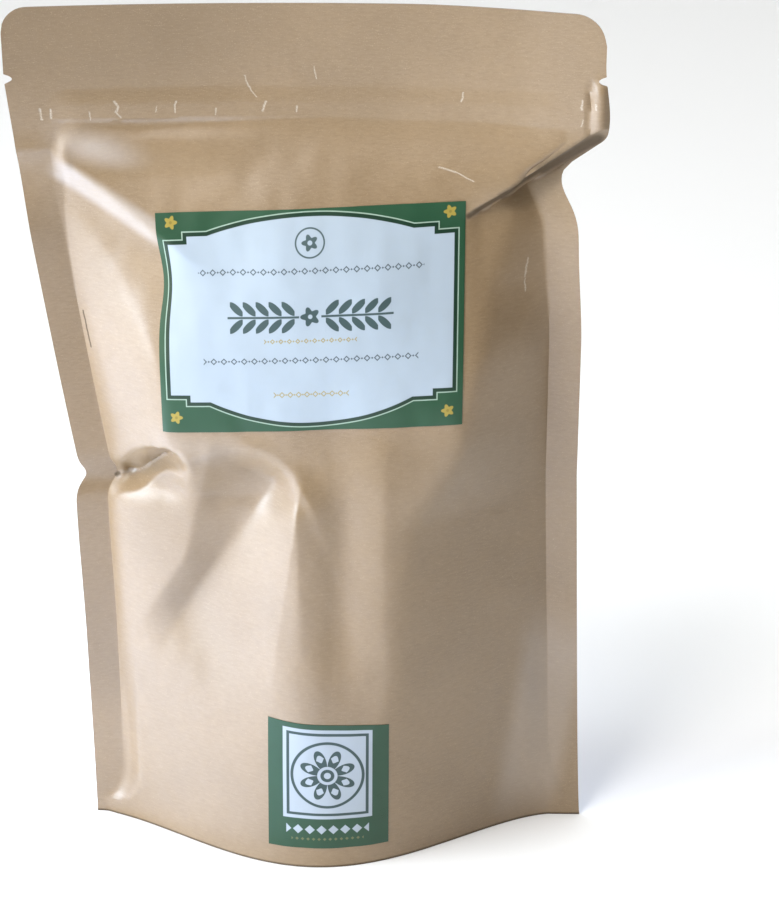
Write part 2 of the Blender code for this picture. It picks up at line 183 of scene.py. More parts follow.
def middle(x, z):  # the surface that the side seals and the flat header follow
    bow = pouch["headerBow"] * (1.0 - ((x + 6.1) / 80.0) ** 2) - 4.0
    curl = -1.4 * ease(48.0, 72.0, x) * ease(200.0, 214.0, z)
    end = ease(208.0, 213.0, z) * (1 - ease(221.5, 227.0, z))
    roll = 0.8 * tent(x - 68.9, 1.8, 0.12) - 0.8 * bump(x, 71.3, 1.9)
    roll = (roll + 3.2 * ease(71.4, 77.0, x) ** 1.3) * end
    line, t = flapLine(x)
    below = (line - z) * 0.86
    ramp = np.clip(below / (1.5 + 3.6 * t), 0.0, 1.0)
    back = np.exp(-np.clip(below - 1.5 - 3.6 * t, 0.0, None) / 9.0)
    neck = (1.0 + 7.0 * t - 3.6 * t * t) * ramp * back * ease(35.0, 41.0, x)
    pinch = 1.6 * bump(z, 110.5, 4.0) * ease(-50.0, -66.0, x)
    fold = -0.5 * tent(z - 205.8, 6.0, 0.4) * ease(-70.0, -77.0, x)
    outLeft = np.clip(leftEdge(z) + pouch["sideSeal"] - x, 0.0, None)
    outRight = np.clip(x - rightEdge(z) + pouch["sideSeal"], 0.0, None)
    turned = ease(12.0, 75.0, z) * (1.0 - ease(180.0, 202.0, z))
    lip = -turned * (0.24 * outLeft + 0.20 * outRight)
    bow = bow * ease(150.0, 225.0, z)
    return bow + curl + roll + neck + pinch + fold + lip - flapPlane(x, z)


def across(x, z):
    a, b = leftEdge(z), rightEdge(z)
    return (2.0 * x - a - b) / (b - a)


def belly(x, z):  # the filled front between its two side slopes
    side = (x + 6.0) / 60.0 * (1.0 - 0.6 * ease(186.0, 204.0, z) * ease(0.0, 40.0, x))
    low = np.clip(pouch["openTop"] - 7.5 * side ** 2 - z, 0.0, None)
    deep = low * low / (low + 20.0)
    flat = 1.0 - (0.05 + 0.52 * ease(128.0, 186.0, z)) * np.clip(side, -1.2, 1.2) ** 2
    full = pouch["fullDepth"] * (1.0 - np.exp(-deep / 24.0)) * flat
    return full + (pouch["baseDepth"] - pouch["fullDepth"]) * np.clip(1.0 - z / 130.0, 0.0, 1.0) ** 1.2


def footCurve(x, z, shift):
    u = across(x, z) + shift
    return np.cos(0.5 * np.pi * np.clip(np.abs(u) / 0.94, 0.0, 1.0)) ** 1.5


def sealWidth(z, low, high):  # the side seal runs out in a curve at the foot
    t = np.clip((high - z) / (high - low), 0.0, 1.0)
    return pouch["sideSeal"] * np.sqrt(1.0 - t * t)


def zipRoom(x, z):
    right = ease(-45.0, 15.0, x)  # the strip shows sharply at the left and fades to the right
    rise = np.clip((z - pouch["stripLow"] + 4.0 * right) / (0.8 + 4.0 * right), 0.0, 1.0)
    half = pouch["zipHalf"] * (1.0 - 0.5 * right)
    return half * ease(0.0, 1.0, rise) * (1.0 - ease(pouch["stripHigh"], 222.5, z))


def leftSide(x, z, a):  # a twisted facet over the pinch, a plain slope under it
    v = np.clip(x - a, 0.0, None)
    upper = np.clip(1.0 - 0.0085 * (z - 130.0), 0.04, 1.0) * v
    slope = pouch["leftSlope"] + 0.0019 * np.clip(112.0 - z, 0.0, 80.0)
    lower = pouch["leftRise"] * (1.0 - np.exp(-v / pouch["leftRound"])) + slope * v
    reach = 14.5 - 0.55 * np.clip(x + 53.0, 0.0, 20.0)
    share = (1.0 - np.clip((pinchLip(x) - z) / reach, 0.0, 1.0)) ** 2
    second = 126.7 - (x + 20.0) ** 2 * np.where(x < -20.0, 0.009, 0.075)
    reach = 9.0 + 0.6 * np.clip(-14.0 - x, 0.0, 26.0)
    other = (1.0 - np.clip((second - z) / reach, 0.0, 1.0)) ** 2
    return lower, upper, share + (other - share) * ease(-47.5, -37.5, x)


def rightSide(x, z, b):
    v = np.clip(b - x, 0.0, None)
    steep = pouch["rightSlope"] + 0.26 * ease(103.0, 130.0, z)
    slope = steep * (v - 3.6 * (1.0 - np.exp(-v / 6.0)) * ease(148.0, 172.0, z))
    line = flapLine(x)[0]
    return slope + 9.0 * ease(-2.5, 0.0, z - line) * ease(30.0, 42.0, x) * np.clip(v / 5.0, 0.0, 1.0)


def frontDents(x, z):  # folds and hollows of the filled front, added to its depth
    p = pouch
    fold = p["foldHigh"] * tent(x + 8.7 + 0.02 * (z - 60.0), 22.0, 0.5 + 7.0 * (1.0 - ease(38.0, 92.0, z)))
    fold = fold * ease(5.0, 60.0, z) * (1.0 - ease(108.0, 124.0, z))
    second = p["secondFoldHigh"] * tent(x - 14.7, 15.0, 1.6)
    second = second * ease(35.0, 70.0, z) * (1.0 - ease(115.0, 135.0, z))
    along = (x + 14.0) * -0.521 + (z - 119.0) * -0.853
    side = (x + 14.0) * 0.853 + (z - 119.0) * -0.521
    far = np.clip(along, 0.0, 80.0)
    wide = np.where(side > 0.0, 6.0 + 0.38 * far, np.clip(19.5 - 0.29 * far, 8.5, 19.5))
    trough = np.clip(1.12 - np.sqrt((side / wide) ** 2 + 0.02), 0.0, None) ** 1.15
    trough = trough * ease(-4.0, 5.0, along) * (1.0 - ease(48.0, 76.0, along))
    reach = 4.0 + 5.6 * bump(x, -54.0, 6.5) + 0.6 * bump(x, -62.0, 4.0)
    down = (pinchLip(x) - z) / reach
    bean = np.clip(smoothMin(down, 1.0 + (1.0 - down) * reach / 4.5, 0.12), 0.0, 1.0)
    bean = bean * ease(-65.0, -56.0, x) * (1.0 - ease(-45.0, -39.0, x))
    hollow = p["hollowDeep"] * bump(x, 3.0, 5.0) * bump(z, 92.0, 28.0)
    along = (x + 75.5) * 0.81 - (z - 205.4) * 0.588
    off = (x + 75.5) * 0.588 + (z - 205.4) * 0.81
    ridge = p["shoulderHigh"] * tent(off, np.where(off > 0.0, 20.0, 9.0), 0.5)
    ridge = ridge * ease(-2.0, 4.0, along) * (1.0 - ease(34.0, 58.0, along))
    patch = p["patchHigh"] * ease(-74.0, -57.0, x) * (1.0 - ease(-56.0, -8.0, x))
    patch = patch * ease(198.0, 206.0, z) * (1.0 - ease(207.0, 211.8, z))
    foot = p["footFoldHigh"] * tent(x - 60.5 + 0.24 * (z - 30.0), 9.0, 1.5)
    foot = foot * ease(4.0, 14.0, z) * (1.0 - ease(44.0, 60.0, z))
    raised = fold + second + ridge + patch + foot
    return raised - p["troughDeep"] * trough - p["pinchDeep"] * bean - hollow


def frontDepth(x, z):
    a, b = leftEdge(z) + sealWidth(z, 5.0, 19.0), rightEdge(z) - sealWidth(z, 6.0, 30.0)
    full = belly(x, z)
    lower, upper, share = leftSide(x, z, a)
    right = rightSide(x, z, b)
    below = smoothMin(smoothMin(lower, right, 3.0), full, 2.0)
    above = smoothMin(smoothMin(upper, right, 3.0), full, 2.2)
    body = below + (above - below) * share
    foot = pouch["baseDepth"] * footCurve(x, z, 0.065)
    foot = foot * ease(0.0, 7.0, x - a) * ease(0.0, 7.0, b - x)
    blend = ease(0.0, 78.0, z)
    body = np.clip(foot * (1 - blend) + body * blend, 0.0, None)
    body = body + frontDents(x, z) * np.clip((x - a) / 4.0, 0.0, 1.0) * np.clip((b - x) / 8.0, 0.0, 1.0)
    body = np.clip(body - flapPlane(x, z), 0.0, None)
    ripple = pouch["rippleDeep"] * softRipple(x / 13.0, z / 19.0)
    ripple = ripple + pouch["fineRippleDeep"] * fineRipple(x / 4.5, z / 6.0)
    body = body + ripple * np.clip(body / 5.0, 0.15, 1.0) * ease(0.0, 6.0, z)
    strip = zipRoom(x, z) * ease(0.0, 10.0, x - a) * ease(0.0, 10.0, b - x)
    return pouch["sealGap"] + np.maximum(np.where((x > a) & (x < b), body, 0.0), strip)


def backDepth(x, z):
    a, b = leftEdge(z) + pouch["sideSeal"], rightEdge(z) - pouch["sideSeal"]
    body = smoothMin(pouch["backSlope"] * (x - a), pouch["backSlope"] * (b - x), 3.0)
    body = smoothMin(body, 0.96 * belly(x, z), 4.0)
    foot = pouch["baseDepth"] * footCurve(x, z, 0.0)
    blend = ease(0.0, 78.0, z)
    body = np.clip(foot * (1 - blend) + body * blend, 0.0, None)
    fold = pouch["backFoldHigh"] * tent(x + 14.0 - 0.10 * (z - 90.0), 20.0) * bump(z, 80.0, 50.0)
    hollow = pouch["backHollowDeep"] * bump(x - 24.0 + 0.25 * (z - 120.0), 0.0, 14.0)
    hollow = hollow * bump(z, 118.0, 26.0)
    body = np.clip(body + (fold - hollow) * np.clip(body / 8.0, 0.0, 1.0), 0.0, None)
    ripple = pouch["backRippleDeep"] * backRipple(x / 14.0, z / 20.0)
    ripple = ripple + pouch["fineRippleDeep"] * fineRipple(x / 5.0, z / 6.0)
    body = np.clip(body + ripple * np.clip(body / 5.0, 0.15, 1.0) * ease(0.0, 6.0, z), 0.0, None)
    strip = zipRoom(x, z) * ease(0.0, 10.0, x - a) * ease(0.0, 10.0, b - x)
    return pouch["sealGap"] + np.maximum(np.where((x > a) & (x < b), body, 0.0), strip)


def frontInner(x, z):
    return middle(x, z) - frontDepth(x, z)


def backInner(x, z):
    return middle(x, z) + backDepth(x, z)


def steepness(face, x, z, most=2.2):  # how much deeper in y a sheet is where it slopes
    h = 0.2
    dx = (face(x + h, z) - face(x - h, z)) / (2 * h)
    dz = (face(x, z + h) - face(x, z - h)) / (2 * h)
    return np.clip(np.sqrt(1.0 + dx * dx + dz * dz), 1.0, most)


def addPiece(name, verts, faces, material, uv, sharp):
    place = (np.asarray(verts, float) + np.array(pouch["shift"])) * mm
    mesh = bpy.data.meshes.new(name)
    mesh.from_pydata(place.tolist(), [], faces)
    mesh.update()
    layer = mesh.uv_layers.new(name="sheetMap")
    index = np.empty(len(mesh.loops), np.int32)
    mesh.loops.foreach_get("vertex_index", index)
    layer.uv.foreach_set("vector", np.asarray(uv, np.float32)[index].ravel())
    mesh.polygons.foreach_set("use_smooth", [True] * len(mesh.polygons))
    mesh.set_sharp_from_angle(angle=math.radians(sharp))
    mesh.materials.append(material)
    piece = bpy.data.objects.new(name, mesh)
    bpy.context.scene.collection.objects.link(piece)
    return piece


def gridFaces(rows, cols, start=0, flip=False):
    i, j = np.meshgrid(np.arange(rows - 1), np.arange(cols - 1), indexing="ij")
    a = (i * cols + j).ravel() + start
    quads = np.stack([a, a + 1, a + 1 + cols, a + cols], axis=1)
    return (quads[:, ::-1] if flip else quads).tolist()


def rimFaces(rows, cols, step):  # the cut edges between the two grids of a sheet
    faces = []
    for j in range(cols - 1):
        high = (rows - 1) * cols + j
        faces.append((j + 1, j, j + step, j + 1 + step))
        faces.append((high, high + 1, high + 1 + step, high + step))
    for i in range(rows - 1):
        left, right = i * cols, i * cols + cols - 1
        faces.append((left, left + cols, left + cols + step, left + step))
        faces.append((right + cols, right, right + step, right + cols + step))
    return faces


def sheetPiece(name, near, far, material, uv, sharp=35.0):  # grids of points, near in front
    rows, cols = near.shape[:2]
    verts = np.concatenate([near.reshape(-1, 3), far.reshape(-1, 3)])
    step = rows * cols
    faces = gridFaces(rows, cols) + gridFaces(rows, cols, step, True) + rimFaces(rows, cols, step)
    flat = uv.reshape(-1, 2)
    return addPiece(name, verts, faces, material, np.concatenate([flat, flat]), sharp)


def panelGrid(rows, columns):
    seal, crease = pouch["sealShare"], pouch["flapLow"]
    z = spacing(rows, 0.0, pouch["height"], ((112.0, 12.0, 0.8), (crease, 5.0, 2.0), (200.0, 14.0, 0.5),
                                             (216.0, 8.0, 1.0), (225.5, 4.0, 2.0)))
    u = spacing(columns, -1.0, 1.0, ((-seal, 0.03, 1.5), (seal, 0.03, 1.5), (-0.99, 0.02, 1.5),
                                     (0.99, 0.02, 1.5), (-0.12, 0.06, 0.8)))
    u, level = np.meshgrid(u, z)
    rise = np.interp(level, (150.0, crease, 226.0), (0.0, 1.0, 0.0))
    z = level
    for _ in range(6):  # the rows bend so that one of them lies in the flap's crease
        x = spread(u, z)
        z = level + (flapLine(x)[0] - crease) * rise
    x = spread(u, z)
    band = pouch["height"] - pouch["topBand"]
    return x, np.where(z > band, band + (z - band) * (topLine(x) - band) / pouch["topBand"], z)


def spread(u, z):  # -1..1 across the sheet to millimetres, the seals' inner edges on fixed columns
    cut = notchCut(z)
    a, b = leftEdge(z), rightEdge(z)
    innerA, innerB = a + pouch["sideSeal"], b - pouch["sideSeal"]
    seal = pouch["sealShare"]
    x = innerA + (u / seal * 0.5 + 0.5) * (innerB - innerA)
    out = (np.abs(u) - seal) / (1.0 - seal)
    x = np.where(u < -seal, innerA + (a + cut - innerA) * out, x)
    return np.where(u > seal, innerB + (b - cut - innerB) * out, x)


def spacing(count, low, high, spots):  # values that crowd round each (centre, width, gain)
    fine = np.linspace(low, high, 4000)
    density = np.ones_like(fine)
    for centre, width, gain in spots:
        density += gain * np.exp(-((fine - centre) / width) ** 2)
    total = np.concatenate([[0.0], np.cumsum(0.5 * (density[1:] + density[:-1]))])
    return np.interp(np.linspace(0.0, total[-1], count), total, fine)


def buildPanel(name, face, rows, columns, outward, material):
    x, z = panelGrid(rows, columns)
    inner = face(x, z)
    outer = inner + outward * pouch["sheet"] * steepness(face, x, z)
    near, far = (outer, inner) if outward < 0 else (inner, outer)
    uv = np.stack([x, z], axis=-1) / 100.0
    return sheetPiece(name, np.stack([x, near, z], -1), np.stack([x, far, z], -1), material, uv)


class Value:  # one socket, with Python's operators adding Math nodes
    def __init__(self, look, socket):
        self.look, self.socket = look, socket

    def math(self, operation, *others):
        return self.look.node("ShaderNodeMath", {"operation": operation}, dict(enumerate([self, *others])))

    def __add__(self, o):
        return self.math("ADD", o)

    def __radd__(self, o):
        return self.math("ADD", o)

    def __sub__(self, o):
        return self.math("SUBTRACT", o)

    def __rsub__(self, o):
        return self.look.node("ShaderNodeMath", {"operation": "SUBTRACT"}, {0: o, 1: self})

    def __mul__(self, o):
        return self.math("MULTIPLY", o)

    def __rmul__(self, o):
        return self.math("MULTIPLY", o)

    def __truediv__(self, o):
        return self.math("DIVIDE", o)

    def __pow__(self, o):
        return self.math("POWER", o)

    def __abs__(self):
        return self.math("ABSOLUTE")

    def least(self, o):
        return self.math("MINIMUM", o)

    def most(self, o):
        return self.math("MAXIMUM", o)

    def root(self):
        return self.math("SQRT")

    def sine(self):
        return self.math("SINE")

    def below(self, edge, soft):  # 1 where the value is under the edge
        return self.look.node("ShaderNodeMapRange", {"interpolation_type": "SMOOTHSTEP"},
                              {"Value": self, "From Min": edge - soft, "From Max": edge + soft,
                               "To Min": 1.0, "To Max": 0.0})

    def above(self, edge, soft):
        return 1.0 - self.below(edge, soft)


class Look:  # a material and the one method that adds its nodes
    def __init__(self, name, **fixed):
        self.material = bpy.data.materials.new(name)
        self.material.use_nodes = True
        self.tree = self.material.node_tree
        self.shader = self.tree.nodes["Principled BSDF"]
        for socket, value in fixed.items():
            self.shader.inputs[socket.replace("_", " ")].default_value = value

    def node(self, kind, settings=None, inputs=None, output=0):
        made = self.tree.nodes.new(kind)
        for key, value in (settings or {}).items():
            setattr(made, key, value)
        for key, value in (inputs or {}).items():
            self.feed(made.inputs[key], value)
        return Value(self, made.outputs[output])

    def feed(self, socket, value):
        if isinstance(value, Value):
            self.tree.links.new(value.socket, socket)
        elif isinstance(value, tuple) and len(value) == 3 and socket.type == "RGBA":
            socket.default_value = (*value, 1.0)
        else:
            socket.default_value = value

    def set(self, name, value):
        self.feed(self.shader.inputs[name], value)

    def mix(self, factor, a, b):  # input 0 is the factor, 6 and 7 the colours, and output 2 their mix
        return self.node("ShaderNodeMix", {"data_type": "RGBA"}, {0: factor, 6: a, 7: b}, 2)

    def noise(self, vector, scale, detail=2.0, rough=0.5):
        return self.node("ShaderNodeTexNoise", None, {"Vector": vector, "Scale": scale, "Detail": detail,
                                                      "Roughness": rough})

    def place(self):  # paper coordinates in millimetres, across and up
        uv = self.node("ShaderNodeUVMap", {"uv_map": "sheetMap"})
        parts = self.tree.nodes.new("ShaderNodeSeparateXYZ")
        self.tree.links.new(uv.socket, parts.inputs[0])
        return Value(self, parts.outputs[0]) * 100.0, Value(self, parts.outputs[1]) * 100.0

    def vector(self, x, y, z=0.0):
        return self.node("ShaderNodeCombineXYZ", None, {0: x, 1: y, 2: z})

    def stroke(self, x, y, start, end, width):  # distance mask of one short line
        (ax, ay), (bx, by) = start, end
        dx, dy = bx - ax, by - ay
        length = dx * dx + dy * dy
        t = ((x - ax) * (dx / length) + (y - ay) * (dy / length)).most(0.0).least(1.0)
        ox, oy = x - ax - t * dx, y - ay - t * dy
        return (ox * ox + oy * oy).root().below(width, width * 0.6)

    def bumped(self, height, strength, distance):
        return self.node("ShaderNodeBump", None, {"Height": height, "Strength": strength,
                                                  "Distance": distance})


kraft = {
    "light": (0.284, 0.186, 0.094),
    "dark": (0.226, 0.145, 0.070),
    "fibre": (0.24, 0.150, 0.075),
    "pale": (0.47, 0.35, 0.22),
    "scuffAndGlint": (0.74, 0.66, 0.55),
    # colour of the painted highlights
    "glint": (0.84, 0.81, 0.82),
    # colour of painted shade, in the pinch patch and on the sheet's lower right
    "deep": (0.125, 0.074, 0.022),
    # colour of painted shade along the folds and the cut edge
    "fold": (0.055, 0.034, 0.015),
    "roughness": 0.42,
    "coat": 0.62,
    "bump": (0.42, 0.00012),  # strength, distance in metres
}

# short worn lines, (x, z) in millimetres: across the strip, and where the header was creased; the ones at x
# 66.5 to 70.2, beside the right-hand crease, are scuffs and painted highlights on the rolled end at once
frontScuffsAndGlints = [
    ((-77.3, 216.6), (-77.1, 213.9), 0.34), ((-74.7, 216.4), (-74.6, 214.2), 0.30),
    ((-57.8, 218.2), (-57.0, 216.6), 0.26), ((-57.0, 216.6), (-57.6, 215.4), 0.30),
    ((-57.6, 215.4), (-56.2, 213.8), 0.18), ((-41.6, 217.9), (-41.9, 215.0), 0.24),
    ((-64.5, 215.6), (-64.3, 213.4), 0.16), ((-17.6, 217.6), (-18.4, 215.2), 0.26),
    ((-9.3, 216.4), (-9.4, 215.0), 0.22), ((-31.0, 216.0), (-31.1, 214.2), 0.14),
    ((-23.2, 224.6), (-22.2, 222.0), 0.16), ((-22.2, 222.0), (-20.2, 219.0), 0.18),
    ((-4.6, 227.0), (-4.0, 223.8), 0.15), ((-46.8, 216.8), (-46.9, 215.2), 0.12),
    ((29.0, 201.4), (33.4, 200.2), 0.20), ((33.4, 200.2), (38.2, 197.9), 0.16),
    ((53.4, 176.0), (52.6, 171.5), 0.24), ((52.6, 171.5), (52.8, 167.0), 0.18),
    ((35.3, 220.6), (34.8, 218.2), 0.18), ((66.6, 219.8), (66.5, 217.4), 0.26),
    ((66.8, 214.6), (66.7, 212.9), 0.20), ((70.2, 219.0), (70.1, 217.6), 0.22),
]

# painted shade along folds: under the flap's crease, in the pinch and at the left seal's inner edge
frontCreaseShade = [
    ((37.0, 188.7), (48.0, 195.2), 0.8), ((46.0, 193.8), (60.0, 202.4), 1.3),
    ((57.0, 200.4), (71.0, 209.0), 2.2),
    ((-62.3, 110.1), (-61.7, 110.6), 0.6), ((-69.0, 160.0), (-67.3, 149.5), 0.22),
]

# soft patches of painted light, pale ones as painted highlights where the front faces the lamps
# and a dark one as painted shade inside the pinch: centre, angle, half sizes, soft edges, share, tone
frontPaintedLight = [
    ((-59.6, 192.0), -30.4, (17.0, 2.7), (3.5, 1.4), 0.26, "glint"),
    ((-63.5, 206.4), -12.0, (9.0, 3.2), (8.5, 3.2), 0.23, "glint"),
    ((-60.0, 155.0), -80.0, (24.0, 7.0), (14.0, 5.0), 0.03, "glint"),
    ((-40.0, 36.0), -80.0, (50.0, 22.0), (32.0, 15.0), 0.060, "glint"),
    ((-14.0, 66.0), -84.0, (40.0, 7.0), (24.0, 6.5), 0.045, "glint"),
    ((-37.0, 127.0), -10.0, (9.0, 3.5), (7.0, 3.5), 0.12, "glint"),
    ((60.5, 34.0), 82.0, (30.0, 9.0), (11.0, 3.5), 0.11, "glint"),
    ((-55.0, 114.3), 24.0, (8.0, 3.4), (4.0, 2.2), 0.42, "deep"),
]


def kraftLook(name, scuffsAndGlints=(), tone=1.0, creaseShade=(), paintedLight=()):
    look = Look(name, Specular_IOR_Level=0.65, Coat_Roughness=0.30)
    x, z = look.place()
    spot = look.vector(x, z)
    cloud = look.noise(spot, 0.035, 3.0, 0.55)
    mottle = look.noise(spot, 0.45, 4.0, 0.65)
    laid = look.noise(look.vector(x * 0.5, z * 1.7), 0.9, 4.0, 0.6)
    grain = look.noise(spot, 3.2, 2.0, 0.7)
    light = tuple(c * tone for c in kraft["light"])
    dark = tuple(c * tone for c in kraft["dark"])
    colour = look.mix(cloud.above(0.5, 0.22), light, dark)
    colour = look.mix((mottle - 0.5) * 1.6 + 0.35, colour, dark)
    colour = look.mix((laid - 0.5) * 0.45 + 0.10, colour, kraft["pale"])
    dusk = x.below(-20.0, 60.0) * z.above(222.0, 15.0) + z.above(228.0, 14.0) * 0.25
    colour = look.mix(dusk.least(1.0) * 0.38, colour, tuple(c * 0.62 for c in dark))
    shade = x.above(24.0, 28.0) * z.below(127.0, 22.0)
    colour = look.mix(shade * 0.26, colour, kraft["deep"])
    # painted highlights and painted shade, one patch at a time
    for (cx, cz), angle, (a, b), (softA, softB), share, shift in paintedLight:
        c, s = math.cos(math.radians(angle)), math.sin(math.radians(angle))
        u, v = (x - cx) * c + (z - cz) * s, (z - cz) * c - (x - cx) * s
        patch = abs(u).below(a, softA) * abs(v).below(b, softB)
        colour = look.mix(patch * share, colour, kraft[shift])
    fibres = look.node("ShaderNodeTexVoronoi", {"feature": "DISTANCE_TO_EDGE"},
                       {"Vector": look.vector(x * 0.22 + mottle * 0.9, z * 1.5 + cloud * 4.0), "Scale": 1.6})
    thread = fibres.below(0.035, 0.03) * grain.above(0.56, 0.06)
    colour = look.mix(thread * 0.45, colour, kraft["pale"])
    fleck = look.noise(look.vector(x * 1.0, z * 2.2), 2.6, 1.0, 0.5).above(0.70, 0.04)
    colour = look.mix(fleck * 0.35, colour, kraft["fibre"])
    wearAndGlint = None
    # real scuffs, and a few strokes that are painted highlights
    for start, end, width in scuffsAndGlints:
        mark = look.stroke(x + (mottle - 0.5) * 1.5, z, start, end, width)
        wearAndGlint = mark if wearAndGlint is None else wearAndGlint.most(mark)
    if wearAndGlint is not None:
        wearAndGlint = wearAndGlint * grain.above(0.40, 0.16)
        colour = look.mix(wearAndGlint * 0.42, colour, kraft["scuffAndGlint"])
    # painted shade: a dark line along the cut edge at the foot, and along the folds; the gusset's z is
    # negative, so it is dark all over
    edgeAndCreaseShade = z.below(0.55, 0.35)
    for start, end, width in creaseShade:
        edgeAndCreaseShade = edgeAndCreaseShade.most(look.stroke(x + (mottle - 0.5) * 0.4, z, start, end, width))
    colour = look.mix(edgeAndCreaseShade * 0.8, colour, kraft["fold"])
    look.set("Coat Weight", kraft["coat"] - edgeAndCreaseShade * 0.6)
    look.set("Base Color", colour)
    rough = kraft["roughness"] + (mottle - 0.5) * 0.16 + (grain - 0.5) * 0.12 + edgeAndCreaseShade * 0.4
    if wearAndGlint is not None:
        rough = rough + wearAndGlint * 0.25
    look.set("Roughness", rough)
    height = grain * 0.35 + laid * 0.35 + mottle * 0.9
    if wearAndGlint is not None:
        height = height - wearAndGlint * 0.8
    look.set("Normal", look.bumped(height, *kraft["bump"]))
    return look.material


mainLabel = {
    "corners": ((-46.0, 131.4), (35.7, 134.2), (36.2, 192.8), (-47.3, 189.6)),
    "size": (83.5, 60.6),
    "columns": 150, "rows": 110,
    "lift": 0.06, "thick": 0.12,
    "green": (0.018, 0.066, 0.030),
    "deepGreen": (0.009, 0.034, 0.017),
    "line": (0.42, 0.55, 0.44),
    "white": (0.40, 0.464, 0.520),
    "ink": (0.028, 0.060, 0.056),
    "grey": (0.070, 0.090, 0.100),
    "gold": (0.36, 0.27, 0.05),
    "paleGold": (0.36, 0.30, 0.13),
    "sideMargin": 2.9,
    "stepsTop": (8.3, 6.3, 1.9), "stepsFoot": (10.8, 8.8, 2.3),
    "stepAcross": (8.3, 13.9),
    "lineOut": 1.2, "lineWide": 0.16,
    "dent": (172.0, 9.5, 1.9),
    "laurelY": 32.4, "laurelStep": 3.55,
    "ringY": 51.9, "ringRadius": 3.85,
}
# each chain: its height, half its length, ink, step, half height of a lozenge
mainLabel["chains"] = [
    (44.6, 30.8, mainLabel["grey"], 2.8, 0.95), (25.8, 12.65, mainLabel["paleGold"], 2.3, 0.72),
    (20.4, 29.4, mainLabel["grey"], 2.8, 0.95), (10.6, 10.35, mainLabel["paleGold"], 2.3, 0.9),
]
squareLabel = {
    "corners": ((-19.0, 6.5), (15.7, 6.2), (15.9, 45.0), (-18.4, 48.1)),
    "size": (34.6, 39.4),
    "columns": 70, "rows": 80,
    "lift": 0.06, "thick": 0.12,
    "green": (0.016, 0.060, 0.029),
    "white": (0.41, 0.465, 0.525),
    "pane": (4.3, 9.6, 29.9, 37.9),
    "lineIn": 1.45, "lineWide": 0.42,
    "dent": (30.0, 10.0, 0.0),
}
# each row: its height, half its length, half the size of a lozenge, step, share, ink
squareLabel["rowsOfMarks"] = [
    (6.1, 11.9, 1.45, 3.4, 0.95, squareLabel["white"]),
    (3.0, 10.4, 0.5, 1.6, 0.35, mainLabel["paleGold"]),
]


def labelPiece(name, spec, material):
    s, t = np.meshgrid(np.linspace(0, 1, spec["columns"]), np.linspace(0, 1, spec["rows"]))
    lowLeft, lowRight, topRight, topLeft = [np.array(c) for c in spec["corners"]]
    low = lowLeft + (lowRight - lowLeft) * s[..., None]
    top = topLeft + (topRight - topLeft) * s[..., None]
    place = low + (top - low) * t[..., None]
    x, z = place[..., 0], place[..., 1]
    level, reach, deep = spec["dent"]  # the left edge is pulled in where the paper turns under it
    x = x + deep * bump(z, level, reach) * np.exp(-s * spec["size"][0] / 8.0)
    steep = steepness(frontInner, x, z)
    far = frontInner(x, z) - (pouch["sheet"] + spec["lift"]) * steep
    near = far - spec["thick"] * steep
    uv = np.stack([s * spec["size"][0], t * spec["size"][1]], -1) / 100.0
    return sheetPiece(name, np.stack([x, near, z], -1), np.stack([x, far, z], -1), material, uv, 50.0)


def rosette(look, x, y, size):  # mask of a small five-petalled flower
    r = (x * x + y * y).root()
    angle = look.node("ShaderNodeMath", {"operation": "ARCTAN2"}, {0: y, 1: x})
    petal = (angle * 2.5).sine()
    reach = (petal * petal) * (size * 0.42) + size * 0.62
    return (r - reach).below(0.0, 0.12), r


